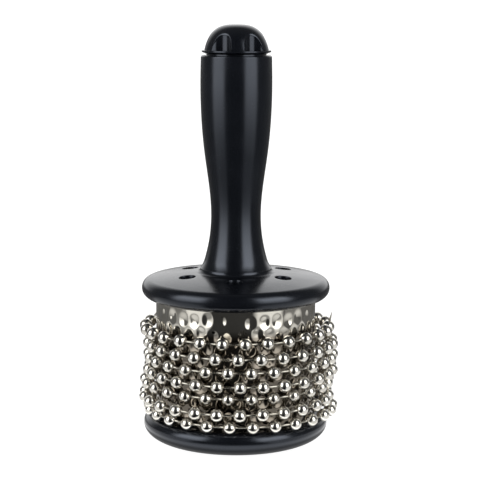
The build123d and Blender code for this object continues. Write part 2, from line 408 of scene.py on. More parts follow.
class ShaderTree:
    """Emptied node tree of a material or a world, with the nodes that several of them need."""

    def __init__(self, owner: Material | bpy.types.World) -> None:
        """Empty the owner's tree.

        Args:
            owner: the material or the world.
        """
        owner.use_nodes = True
        self.tree = owner.node_tree
        self.tree.nodes.clear()

    def add(self, kind: str, inputs: dict | None = None, **settings: object) -> bpy.types.Node:
        """Add a node with its settings and its inputs.

        Args:
            kind: type of the node, without the words that all types share.
            inputs: input's name or number to its value, or to the output that it is linked from.
            settings: the node's own properties.

        Returns:
            The node.
        """
        node = self.tree.nodes.new(f"ShaderNode{kind}")
        for name, value in settings.items():
            setattr(node, name, value)
        for key, value in (inputs or {}).items():
            if isinstance(value, Socket):
                self.tree.links.new(value, node.inputs[key])
            else:
                node.inputs[key].default_value = value
        return node

    def place(self) -> Socket:
        """Object coordinates, in metres."""
        return self.add("TexCoord").outputs["Object"]

    def noise(self, size: float, detail: float) -> Socket:
        """Noise with features of a size in millimetres."""
        inputs = {"Vector": self.place(), "Scale": per_metre(size), "Detail": detail}
        return self.add("TexNoise", inputs).outputs["Fac"]

    def mix(self, share: Socket, first: Socket | Colour, second: Colour) -> Socket:
        """Colour between two colours."""
        return self.add("Mix", {0: share, 6: first, 7: second}, data_type="RGBA").outputs[2]

    def ranged(self, value: Socket, source: Span, target: Span = (0.0, 1.0)) -> Socket:
        """Value carried from one span to another and held at the ends."""
        return self.add("MapRange", dict(enumerate((value, *source, *target)))).outputs[0]

    def maths(self, operation: str, first: Socket, second: Socket | float) -> Socket:
        """Result of an operation on two values."""
        return self.add("Math", {0: first, 1: second}, operation=operation).outputs[0]

    def bump(self, height: Socket, strength: float, depth: float) -> Socket:
        """Normal of a surface with small rises, whose depth is in millimetres."""
        inputs = {"Height": height, "Strength": strength, "Distance": depth * METRES_PER_MM}
        return self.add("Bump", inputs).outputs["Normal"]

    def facing(self, place: Socket) -> tuple[Socket, Socket, Socket]:
        """How a place or a direction lies, seen from the drum.

        Args:
            place: the place or the direction.

        Returns:
            Its part towards the camera, its part upwards, and its angle from the camera's side, in
            radians and positive to the right.
        """
        parts = self.add("SeparateXYZ", {0: place}).outputs
        front = self.maths("MULTIPLY", parts["Y"], -1.0)
        return front, parts["Z"], self.maths("ARCTAN2", parts["X"], front)

    def surface(self, kind: str, inputs: dict) -> None:
        """Add the shader of a material's surface."""
        self.add("OutputMaterial", {"Surface": self.add(kind, inputs).outputs[0]})


@dataclass(frozen=True)
class Finish:
    """A material of one kind of surface."""

    name: str

    def inputs(self, nodes: ShaderTree) -> dict:
        """Inputs of the shader."""
        raise NotImplementedError

    def build(self) -> Material:
        """Make the material.

        Returns:
            The material.
        """
        material = bpy.data.materials.new(self.name)
        nodes = ShaderTree(material)
        nodes.surface("BsdfPrincipled", self.inputs(nodes))
        return material


@dataclass(frozen=True)
class MouldedPlastic(Finish):
    """Glossy black ABS, injection moulded in a polished tool.

    The eye sees near-black with clear, slightly cool reflections, a faint orange peel, fine rub
    marks and specks of dust.
    """

    dark: str = "#090b0f"
    light: str = "#0e1015"
    gloss: str = "#e6efff"
    ior: float = 1.52
    roughness: float = 0.19
    rub_and_shade_roughness: float = 0.25
    rub_size: float = 9.0
    rub_detail: float = 4.0
    rub_span: Span = (0.3, 0.7)
    peel_size: float = 1.6
    peel_detail: float = 1.0
    peel_height: float = 0.004
    peel_strength: float = 0.35
    speck_size: float = 0.55
    speck_detail: float = 2.0
    speck_span: Span = (0.66, 0.8)
    speck_roughness: float = 0.12

    def inputs(self, nodes: ShaderTree) -> dict:
        """Inputs of the surface's shader.

        Args:
            nodes: tree of the material.

        Returns:
            Input's name to its value or to an output.
        """
        rub_and_shade = nodes.noise(self.rub_size, self.rub_detail)
        peel = nodes.noise(self.peel_size, self.peel_detail)
        speck = nodes.noise(self.speck_size, self.speck_detail)
        smooth = nodes.ranged(rub_and_shade, self.rub_span, (self.roughness, self.rub_and_shade_roughness))
        dusty = nodes.ranged(speck, self.speck_span, (0.0, self.speck_roughness))
        return {
            "Base Color": nodes.mix(rub_and_shade, colour(self.dark), colour(self.light)),
            "Roughness": nodes.maths("ADD", smooth, dusty),
            "Normal": nodes.bump(peel, self.peel_strength, self.peel_height),
            "IOR": self.ior,
            "Specular Tint": colour(self.gloss),
        }


@dataclass(frozen=True)
class BrightMetal(Finish):
    """Plated or polished metal.

    The eye sees clear, slightly warm reflections, with soft dull patches and fine scratches.
    """

    clean: str = "#e8e5de"
    dull: str = "#d6d2c9"
    roughness: float = 0.15
    dull_roughness: float = 0.23
    patch_size: float = 7.0
    patch_detail: float = 3.0
    patch_span: Span = (0.35, 0.7)
    scratch_size: float = 0.8
    scratch_detail: float = 4.0
    scratch_height: float = 0.002
    scratch_strength: float = 0.3

    def inputs(self, nodes: ShaderTree) -> dict:
        """Inputs of the surface's shader.

        Args:
            nodes: tree of the material.

        Returns:
            Input's name to its value or to an output.
        """
        share = nodes.ranged(nodes.noise(self.patch_size, self.patch_detail), self.patch_span)
        scratch = nodes.noise(self.scratch_size, self.scratch_detail)
        return {
            "Base Color": nodes.mix(share, colour(self.clean), colour(self.dull)),
            "Roughness": nodes.ranged(share, (0.0, 1.0), (self.roughness, self.dull_roughness)),
            "Normal": nodes.bump(scratch, self.scratch_strength, self.scratch_height),
            "Metallic": 1.0,
        }


@dataclass(frozen=True)
class PaintedShadeSheet(Finish):
    """Bright steel sheet, with shade painted on where the chain lies over it.

    The eye sees clear, warm reflections on the bare band at the top. Below it, over a few
    millimetres, the sheet turns darker: painted shade between and behind the beads.
    """

    clean: str = "#e6e2d8"
    dull: str = "#cfcbc0"
    # Dark colour painted below the bare band as shade under the chain's beads.
    painted_shade: str = "#6c665d"
    roughness: float = 0.08
    rub_and_shade_roughness: float = 0.07
    patch_size: float = 11.0
    patch_detail: float = 3.0
    patch_span: Span = (0.35, 0.7)
    painted_shade_top: float = 53.0
    painted_shade_fade: float = 3.0

    def inputs(self, nodes: ShaderTree) -> dict:
        """Inputs of the surface's shader.

        Args:
            nodes: tree of the material.

        Returns:
            Input's name to its value or to an output.
        """
        share = nodes.ranged(nodes.noise(self.patch_size, self.patch_detail), self.patch_span)
        # Painted shade: below the bare band the colour fades over a few millimetres to a dark one, standing
        # in for the shade between and behind the chain's beads.
        height = nodes.add("SeparateXYZ", {0: nodes.place()}).outputs["Z"]
        fade = ((self.painted_shade_top - self.painted_shade_fade) * METRES_PER_MM, self.painted_shade_top * METRES_PER_MM)
        rub_and_shade = nodes.ranged(height, fade, (1.0, 0.0))
        bare = nodes.mix(share, colour(self.clean), colour(self.dull))
        return {
            "Base Color": nodes.mix(rub_and_shade, bare, colour(self.painted_shade)),
            "Roughness": nodes.ranged(rub_and_shade, (0.0, 1.0), (self.roughness, self.rub_and_shade_roughness)),
            "Metallic": 1.0,
        }


@dataclass(frozen=True)
class TurnedWood(Finish):
    """Bare pine, turned on a lathe.

    The eye sees pale growth rings round the axis and a dull surface.
    """

    early: str = "#c9a877"
    late: str = "#9a7142"
    ring_spacing: float = 2.5
    ring_distortion: float = 2.0
    ring_detail: float = 2.0
    roughness: float = 0.65

    def inputs(self, nodes: ShaderTree) -> dict:
        """Inputs of the surface's shader.

        Args:
            nodes: tree of the material.

        Returns:
            Input's name to its value or to an output.
        """
        pattern = {
            "Vector": nodes.place(),
            "Scale": per_metre(self.ring_spacing) / FULL_TURN,
            "Distortion": self.ring_distortion,
            "Detail": self.ring_detail,
        }
        rings = nodes.add("TexWave", pattern, wave_type="RINGS", rings_direction="Z").outputs["Fac"]
        tint = nodes.mix(rings, colour(self.early), colour(self.late))
        return {"Base Color": tint, "Roughness": self.roughness}


# Pieces


@dataclass
class Handle:
    """Hollow moulded grip: foot, waist, swell and mouth, with a spigot below the foot.

    The flare, the waist and the swell are each a radius and a height above the foot.
    """

    columns: int = 160
    side_points: int = 120
    foot_radius: float = 14.3
    foot_flare: Span = (11.7, 10.2)
    foot_roll: float = 0.75
    foot_roll_height: float = 3.6
    waist: Span = (10.55, 23.0)
    swell: Span = (13.3, 48.4)
    grip_radius: float = 15.1
    grip_drop: float = 10.8
    mouth_radius: float = 14.9
    mouth_round: float = 0.6
    mouth_bore_radius: float = 12.2
    mouth_bore_depth: float = 13.0
    wall: float = 2.6
    floor_height: float = 17.0
    spigot_radius: float = 9.0
    spigot_length: float = 3.8
    insert_radius: float = 4.6
    insert_length: float = 14.0
    bolt_hole_radius: float = 3.1

    def side(self, foot_z: float, mouth_z: float, inset: float) -> Array:
        """Curve of the grip's side.

        Args:
            foot_z: height of the foot.
            mouth_z: height of the mouth.
            inset: how far the curve is moved inwards.

        Returns:
            Points from foot to mouth.
        """
        bends = [(radius, foot_z + rise) for radius, rise in (self.foot_flare, self.waist, self.swell)]
        upper = [(self.grip_radius, mouth_z - self.grip_drop), (self.mouth_radius, mouth_z)]
        stations = np.array([(self.foot_radius, foot_z), *bends, *upper])
        return smooth_curve(stations - (inset, 0), self.side_points)

    def outline(self) -> Array:
        """Closed outline of the wall: outside upwards, over the mouth, inside downwards.

        The foot rolls out to the collar by a parabola, from nothing at its upper end to the whole
        roll at the foot.

        Returns:
            Points, count by 2.
        """
        low, high = node_box("handle")
        spigot_z, mouth_z = low[2], high[2]
        foot_z = spigot_z + self.spigot_length
        floor_z = foot_z + self.floor_height
        bore_z = mouth_z - self.mouth_bore_depth
        insert_z = spigot_z + self.insert_length
        outside = self.side(foot_z, mouth_z, 0)
        outside = outside[outside[:, 1] < mouth_z - 2 * self.mouth_round]
        roll = np.clip(1 - (outside[:, 1] - foot_z) / self.foot_roll_height, 0, 1)
        outside[:, 0] += self.foot_roll * roll**2
        inside = self.side(foot_z, mouth_z, self.wall)
        inside = inside[(inside[:, 1] > floor_z) & (inside[:, 1] < bore_z)][::-1]
        foot = [(self.insert_radius, spigot_z), (self.spigot_radius, spigot_z), (self.spigot_radius, foot_z)]
        rim = rounded_line(
            [
                (*outside[-1], 0),
                (self.mouth_radius, mouth_z, self.mouth_round),
                (self.mouth_bore_radius, mouth_z, self.mouth_round / 2),
                (self.mouth_bore_radius, bore_z, 0),
            ]
        )[1:]
        foot_inside = [
            (inside[-1][0], floor_z),
            (self.bolt_hole_radius, floor_z),
            (self.bolt_hole_radius, insert_z),
            (self.insert_radius, insert_z),
            (self.insert_radius, spigot_z),
        ]
        return with_supports(np.concatenate([foot, outside, rim, inside, foot_inside]))

    def build(self, material: Material) -> None:
        """Make the handle with its finish."""
        obj = make_object("handle_grip", [Patch(turned(self.outline(), self.columns))])
        dress(obj, ROOT_BODY, "handle", material)


@dataclass
class EndCap:
    """Domed plug with a thin lip, an undercut neck and scallops for the fingers."""

    skirt_columns: int = 192
    wall_columns: int = 57
    ridge_columns: int = 27
    dome_rows: int = 130
    floor_rows: int = 4
    lip_inset: float = 0.04
    lip_height: float = 2.1
    lip_thickness: float = 0.7
    lip_round: float = 0.16
    ledge: float = 0.55
    neck_radius: float = 12.6
    neck_height: float = 0.6
    side_power: float = 3.0
    top_power: float = 1.35
    plug_radius: float = 12.15
    plug_bore: float = 9.75
    plug_round: float = 0.3
    scallop_count: int = 6
    scallop_turn: float = 2.4
    scallop_radius: float = 5.13
    scallop_standoff: float = 1.15
    scallop_blend: float = 0.7
    plug_z: float = field(init=False)
    mouth_z: float = field(init=False)
    lip_z: float = field(init=False)
    top_z: float = field(init=False)
    lip_radius: float = field(init=False)
    dome_radius: float = field(init=False)
    scallop_axis: float = field(init=False)

    def __post_init__(self) -> None:
        """Read the cap's levels and radius from the frame."""
        low, high = node_box("end_cap")
        self.plug_z, self.top_z = low[2], high[2]
        self.mouth_z = node_box("handle")[1][2]
        self.lip_z = self.mouth_z + self.lip_height
        self.lip_radius = high[0] - self.lip_inset
        self.dome_radius = self.lip_radius - self.ledge
        self.scallop_axis = self.lip_radius + self.scallop_standoff

    def column_angles(self) -> Array:
        """Angles of the head's columns, evenly spaced along the scallops' walls and the ridges.

        With c the distance to a scallop's own axis and s its radius, the wall's point at the
        angle w round that axis lies at the angle whose tangent is s sin w / (c - s cos w), up to
        where the wall runs straight out, at cos w = s / c.

        Returns:
            Angles round the axis, in radians, for one full turn.
        """
        step = FULL_TURN / self.scallop_count
        last = math.acos(self.scallop_radius / self.scallop_axis)
        swing = np.linspace(-last, last, self.wall_columns)
        wall = np.arctan2(
            self.scallop_radius * np.sin(swing), self.scallop_axis - self.scallop_radius * np.cos(swing)
        )
        ridge = np.linspace(wall[-1], step + wall[0], self.ridge_columns + 2)[1:-1]
        sector = np.concatenate([wall, ridge]) + math.radians(self.scallop_turn)
        return (np.arange(self.scallop_count)[:, None] * step + sector).ravel()

    def flute_reach(self, angle: Array) -> Array:
        """Distance from the axis to the scallops' walls, by angle.

        With c the distance to a scallop's own axis, s its radius and d the angle from it, the
        wall lies at c cos d - sqrt(s^2 - c^2 sin^2 d). Between scallops it is out of reach.

        Args:
            angle: angles round the axis, in radians.

        Returns:
            Distance at each angle.
        """
        step = FULL_TURN / self.scallop_count
        off = (angle - math.radians(self.scallop_turn) + step / 2) % step - step / 2
        inside = self.scallop_radius**2 - (self.scallop_axis * np.sin(off)) ** 2
        wall = self.scallop_axis * np.cos(off) - np.sqrt(np.maximum(inside, 0))
        return np.where(inside > 0, wall, self.scallop_axis)

    def dome(self) -> Array:
        """Quarter outline of the dome, from its foot to its top.

        For t from 0 to a quarter turn: radius times cos t to the power of 2 over side_power, and
        height rising by sin t to the power of 2 over top_power.

        Returns:
            Points, dome_rows by 2.
        """
        swing = np.linspace(0, math.pi / 2, self.dome_rows)
        reach = np.maximum(np.cos(swing), 0) ** (2 / self.side_power)
        rise = np.sin(swing) ** (2 / self.top_power)
        return np.column_stack([self.dome_radius * reach, self.lip_z + (self.top_z - self.lip_z) * rise])

    def skirt(self) -> Array:
        """Turned plug, neck and lip, up to the dome's foot.

        Returns:
            Grid of points, rows by columns by 3.
        """
        line = rounded_line(
            [
                (0, self.mouth_z, 0),
                (self.plug_bore, self.mouth_z, 0),
                (self.plug_bore, self.plug_z, 0),
                (self.plug_radius, self.plug_z, self.plug_round),
                (self.plug_radius, self.mouth_z, 0),
                (self.neck_radius, self.mouth_z, 0),
                (self.neck_radius, self.mouth_z + self.neck_height, 0),
                (self.lip_radius, self.lip_z - self.lip_thickness, self.lip_round),
                (self.lip_radius, self.lip_z, self.lip_round),
                (self.dome_radius, self.lip_z, 0),
            ]
        )
        return turned(with_supports(line), self.skirt_columns)

    def head(self) -> Array:
        """Scallops' floors and the dome.

        The radius is the rounded minimum of the dome's radius and the distance to the scallops'
        walls. The floors lead from the dome's foot to those walls.

        Returns:
            Grid of points, rows by columns by 3.
        """
        angle = self.column_angles()
        dome = self.dome()
        radius = np.maximum(soft_minimum(dome[:, :1], self.flute_reach(angle), self.scallop_blend), 0)
        radius[-1] = 0
        share = np.linspace(0, 1, self.floor_rows)[:, None]
        floor = self.dome_radius * (1 - share) + radius[:1] * share
        height = np.concatenate([np.full(self.floor_rows, self.lip_z), dome[1:, 1]])
        return round_grid(np.concatenate([floor, radius[1:]]), angle, height[:, None])

    def build(self, material: Material) -> None:
        """Make the end cap with its finish."""
        obj = make_object("end_cap_dome", [Patch(self.skirt()), Patch(self.head())])
        dress(obj, ROOT_BODY, "end_cap", material)


@dataclass
class EndPlate:
    """Moulded disc at one end of the drum, with counterbored screw holes."""

    node: str
    piece: str
    side: Side
    seat_z: float
    arc_columns: int = 36
    edge_columns: int = 10
    spread_rows: int = 9
    hole_edge_rows: int = 4
    seat_rows: int = 3
    screw_count: int = 6
    screw_circle: float = 23.2
    screw_turn: float = 28.6
    hole_radius: float = 3.5
    hole_round: float = 0.35
    shank_hole_radius: float = 1.7
    head_seat: float = 3.0
    inner_radius: float = 17.6
    outer_radius: float = 27.8
    seat_radius: float = 34.1

    def skin_height(self, radius: Array) -> Array:
        """Height of the plate's outer skin at a distance from the axis."""
        raise NotImplementedError

    def hub_line(self) -> Array:
        """Outline from the outer skin at the sectors' inner border round to the seat there."""
        raise NotImplementedError

    def rim_line(self) -> Array:
        """Outline from the outer skin at the sectors' outer border round to the seat there."""
        raise NotImplementedError

    def seat_line(self, edge_z: float) -> list[Span]:
        """Outline from the seat's outer edge down its wall and in along it to the sectors."""
        corner = (self.seat_radius, self.seat_z)
        return [(self.seat_radius, edge_z), corner, (self.outer_radius, self.seat_z)]

    def sector_border(self) -> Array:
        """Border of the first screw sector: inner arc, far edge, outer arc and near edge.

        Returns:
            Points in plan, columns by 2.
        """
        half = math.pi / self.screw_count
        sweep = np.linspace(-half, half, self.arc_columns + 1)[:-1]
        reach = np.linspace(self.inner_radius, self.outer_radius, self.edge_columns + 1)[:-1]
        back = reach[::-1] + (self.outer_radius - reach[-1])
        angle = np.concatenate([sweep, np.full(len(reach), half), -sweep, np.full(len(back), -half)])
        inner = np.full(len(sweep), self.inner_radius)
        outer = np.full(len(sweep), self.outer_radius)
        radius = np.concatenate([inner, reach, outer, back])
        return round_grid(radius, angle + math.radians(self.screw_turn), 0.0)[:, :2]

    def sector(self) -> Array:
        """Plate round one screw hole.

        Each column starts on the sector's border, crosses the outer skin to the hole, goes
        down its rounded edge and wall, over the screw's seat and through the narrow hole, and
        crosses the seat of the drum back to the border.

        Returns:
            Grid of points, rows by columns by 3.
        """
        border = self.sector_border()
        middle = math.radians(self.screw_turn)
        centre = self.screw_circle * np.array([math.cos(middle), math.sin(middle)])
        ray = border - centre
        ray = ray / np.linalg.norm(ray, axis=1)[:, None]
        toward = self.side.value
        mouth = self.hole_radius + self.hole_round
        share = np.linspace(0, 1, self.spread_rows)[:, None, None]
        skin_plan = border * (1 - share) + (centre + ray * mouth) * share
        skin_z = self.skin_height(np.linalg.norm(skin_plan, axis=2))
        edge = ellipse_arc(
            (mouth, self.hole_round), (self.hole_round, self.hole_round), -90, -180, self.hole_edge_rows + 1
        )[1:]
        edge_plan = centre + ray * edge[:, :1, None]
        edge_z = skin_z[-1] - toward * edge[:, 1:]
        head_z = self.seat_z + toward * self.head_seat
        radii = np.array([self.hole_radius, self.shank_hole_radius, self.shank_hole_radius])
        wall_plan = centre + ray * radii[:, None, None]
        wall_z = np.repeat([[head_z], [head_z], [self.seat_z]], len(border), axis=1)
        back_share = np.linspace(0, 1, self.seat_rows + 1)[1:, None, None]
        back_plan = wall_plan[-1] * (1 - back_share) + border * back_share
        back_z = np.full(back_plan.shape[:2], self.seat_z)
        plan = np.concatenate([skin_plan, edge_plan, wall_plan, back_plan])
        height = np.concatenate([skin_z, edge_z, wall_z, back_z])
        return np.concatenate([plan, height[..., None]], axis=-1)

    def build(self, material: Material) -> None:
        """Make the plate, whose turned parts meet the screw sectors' borders.

        Args:
            material: finish of the plate.
        """
        turns = np.arange(self.screw_count) * FULL_TURN / self.screw_count
        sectors = [Patch(points) for points in turned_copies(self.sector(), turns)]
        columns = self.screw_count * self.arc_columns
        first_angle = self.screw_turn - 180 / self.screw_count
        lines = (self.hub_line(), self.rim_line())
        rings = [Patch(turned(with_supports(line), columns, first_angle)) for line in lines]
        obj = make_object(self.piece, [*rings, *sectors])
        dress(obj, ROOT_BODY, self.node, material)


@dataclass
class TopFlange(EndPlate):
    """Flange under the handle: rounded rim, gently domed top and a filleted collar."""

    lower_width: float = 5.5
    lower_height: float = 4.5
    side_height: float = 0.2
    upper_width: float = 3.3
    upper_height: float = 3.9
    dome_radius: float = 26.5
    dome_rise: float = 1.6
    collar_radius: float = 15.2
    collar_fillet: float = 1.9
    collar_rise: float = 2.5
    collar_edge: float = 0.15
    socket_radius: float = 9.1
    socket_depth: float = 3.9
    bolt_hole_radius: float = 3.1
    slope_points: int = 3
    collar_points: int = 9
    top_points: int = 8
    upper_points: int = 15
    lower_points: int = 17
    bottom_z: float = field(init=False)
    top_z: float = field(init=False)
    radius: float = field(init=False)
    rim_z: float = field(init=False)
    collar_foot: float = field(init=False)

    def __post_init__(self) -> None:
        """Read the flange's levels and radius from the frame."""
        low, high = node_box(self.node)
        self.bottom_z, self.top_z, self.radius = low[2], high[2], high[0]
        self.rim_z = self.bottom_z + self.lower_height + self.side_height + self.upper_height
        self.collar_foot = self.collar_radius + self.collar_fillet

    def skin_height(self, radius: Array) -> Array:
        """Height of the domed top at a distance from the axis.

        The top is an arc through the rim's top, the crown and the collar's foot. Each point of a
        circle about (a, b) gives 2 a x + 2 b y + k = x^2 + y^2, where k = size^2 - a^2 - b^2, so
        three points give a, b and k.

        Args:
            radius: distances from the axis.

        Returns:
            Height at each distance.
        """
        points = np.array(
            [
                (self.radius - self.upper_width, self.rim_z),
                (self.dome_radius, self.rim_z + self.dome_rise),
                (self.collar_foot, self.rim_z + self.collar_rise),
            ]
        )
        system = np.column_stack([2 * points, np.ones(len(points))])
        across, up, rest = np.linalg.solve(system, (points**2).sum(axis=1))
        size_squared = rest + across**2 + up**2
        return up + np.sqrt(size_squared - (radius - across) ** 2)

    def skin_line(self, first: float, last: float, count: int) -> Array:
        """Stretch of the domed top between two distances from the axis."""
        radius = np.linspace(first, last, count)
        return np.column_stack([radius, self.skin_height(radius)])

    def hub_line(self) -> Array:
        """Outline from the top over the collar, its socket and the bolt hole to the seat.

        The collar's fillet and its top edge are quarters of ellipses.

        Returns:
            Points, count by 2.
        """
        slope = self.skin_line(self.inner_radius, self.collar_foot, self.slope_points)
        edge_z = self.top_z - self.collar_edge
        fillet_half = (self.collar_fillet, edge_z - slope[-1, 1])
        fillet = ellipse_arc((self.collar_foot, edge_z), fillet_half, -90, -180, self.collar_points)
        edge_half = (self.collar_edge, self.collar_edge)
        edge_middle = (self.collar_radius - self.collar_edge, edge_z)
        edge = ellipse_arc(edge_middle, edge_half, 0, 90, self.collar_points)
        socket_z = self.top_z - self.socket_depth
        inside = [
            (self.socket_radius, self.top_z),
            (self.socket_radius, socket_z),
            (self.bolt_hole_radius, socket_z),
            (self.bolt_hole_radius, self.seat_z),
            (self.inner_radius, self.seat_z),
        ]
        return np.concatenate([slope, fillet[1:], edge[1:], inside])

    def rim_line(self) -> Array:
        """Outline from the top over the rim to the underside and the drum's seat.

        The upper arc is upright at the rim's side, so a circle of radius (width^2 + height^2) /
        (2 width) carries it to the top's edge. The lower arc is a quarter of an ellipse.

        Returns:
            Points, count by 2.
        """
        top = self.skin_line(self.outer_radius, self.radius - self.upper_width, self.top_points)[:-1]
        size = (self.upper_width**2 + self.upper_height**2) / (2 * self.upper_width)
        first = math.degrees(math.asin(self.upper_height / size))
        upper_middle = (self.radius - size, self.rim_z - self.upper_height)
        upper = ellipse_arc(upper_middle, (size, size), first, 0, self.upper_points)
        lower_half = (self.lower_width, self.lower_height)
        lower_middle = (self.radius - self.lower_width, self.bottom_z + self.lower_height)
        lower = ellipse_arc(lower_middle, lower_half, 0, -90, self.lower_points)
        return np.concatenate([top, upper, lower, self.seat_line(self.bottom_z)])


@dataclass
class Base(EndPlate):
    """Base disc: flat foot, large rounded lower edge and a flat top with a rounded edge."""

    foot_radius: float = 28.0
    side_height: float = 0.4
    top_round: float = 3.6
    lower_points: int = 25
    upper_points: int = 13
    top_z: float = field(init=False)
    radius: float = field(init=False)

    def __post_init__(self) -> None:
        """Read the base's height and radius from the frame."""
        high = node_box(self.node)[1]
        self.top_z, self.radius = high[2], high[0]

    def skin_height(self, radius: Array) -> Array:
        """The underside is flat at the origin's height."""
        return np.zeros_like(radius)

    def hub_line(self) -> Array:
        """Outline from the underside to the axis, and from the axis out along the seat."""
        seat = self.seat_z
        return np.array([(self.inner_radius, 0), (0, 0), (0, seat), (self.inner_radius, seat)], float)

    def rim_line(self) -> Array:
        """Outline from the underside over the rounded edge to the top and the drum's seat.

        The lower edge is a quarter of an ellipse from the foot to the widest level, and the upper
        edge is a quarter of a circle.

        Returns:
            Points, count by 2.
        """
        widest = self.top_z - self.top_round - self.side_height
        lower_half = (self.radius - self.foot_radius, widest)
        lower = ellipse_arc((self.foot_radius, widest), lower_half, -90, 0, self.lower_points)
        upper_middle = (self.radius - self.top_round, self.top_z - self.top_round)
        upper = ellipse_arc(upper_middle, (self.top_round, self.top_round), 0, 90, self.upper_points)
        return np.concatenate([[(self.outer_radius, 0)], lower, upper, self.seat_line(self.top_z)])


@dataclass
class Sleeve:
    """Bright sheet round the drum, pressed with staggered upright oval dimples."""

    columns: int = 660
    rows: int = 128
    dimples_round: int = 36
    first_row_z: float = 56.7
    row_pitch: float = 5.7
    half_width: float = 2.7
    half_height: float = 3.3
    depth: float = 0.44
    oval_power: float = 2.3
    thickness: float = 0.35
    unevenness: float = 0.2
    seam_half_width: float = 0.35
    seam_depth: float = 0.25
    seed: int = 4
    crease: float = 60.0

    def dimple_depth(self, angle: Array, height: Array, radius: float) -> Array:
        """Depth of the dimples at each point of the sheet.

        Rows of dimples are staggered by half a step. In a dimple's own units, with
        q^p = |across|^p + |up|^p, the depth is (1 - q^2)^2 of the full depth, so that a dimple
        has no rim. Each dimple is shifted and deepened a little by its own fixed share.

        Args:
            angle: angles round the axis, in radians.
            height: heights.
            radius: radius of the sheet.

        Returns:
            Depth, in the shape of the two inputs together.
        """
        draw = np.random.default_rng(self.seed)
        row_count = 2 + int(self.first_row_z / self.row_pitch)
        shift = draw.uniform(-1, 1, (3, row_count, self.dimples_round)) * self.unevenness
        step = FULL_TURN / self.dimples_round
        power = self.oval_power
        deepest = np.zeros(np.broadcast_shapes(angle.shape, height.shape))
        for row in range(row_count):
            turn = (angle - 0.5 * step * (row % 2)) / step
            number = np.round(turn).astype(int) % self.dimples_round
            across = (turn - np.round(turn)) * step * radius / self.half_width + shift[0, row, number]
            row_z = self.first_row_z - row * self.row_pitch
            up = (height - row_z) / self.half_height + shift[1, row, number]
            reach = (np.abs(across) ** power + np.abs(up) ** power) ** (1 / power)
            bowl = np.clip(1 - reach**2, 0, 1) ** 2 * (1 + shift[2, row, number])
            deepest = np.maximum(deepest, bowl)
        return deepest * self.depth

    def build(self, material: Material) -> None:
        """Make the sleeve, with the groove of its seam at the back.

        Args:
            material: finish of the sheet.
        """
        low, high = node_box("sleeve")
        radius = high[0]
        angle = (np.arange(self.columns) * FULL_TURN / self.columns)[None, :]
        height = np.linspace(low[2], high[2], self.rows)[:, None]
        from_seam = (angle - math.pi / 2 + math.pi) % FULL_TURN - math.pi
        groove = np.clip(1 - np.abs(from_seam) * radius / self.seam_half_width, 0, 1) * self.seam_depth
        outside = radius - np.maximum(self.dimple_depth(angle, height, radius), groove)
        inner_radius = radius - self.depth * (1 + self.unevenness) - self.thickness
        all_radius = np.concatenate([outside, np.full((2, self.columns), inner_radius)])
        all_height = np.concatenate([height, [[high[2]], [low[2]]]])
        sheet = Patch(round_grid(all_radius, angle, all_height), rows_close=True)
        obj = make_object("drum_sleeve", [sheet], self.crease)
        dress(obj, ROOT_BODY, "sleeve", material)


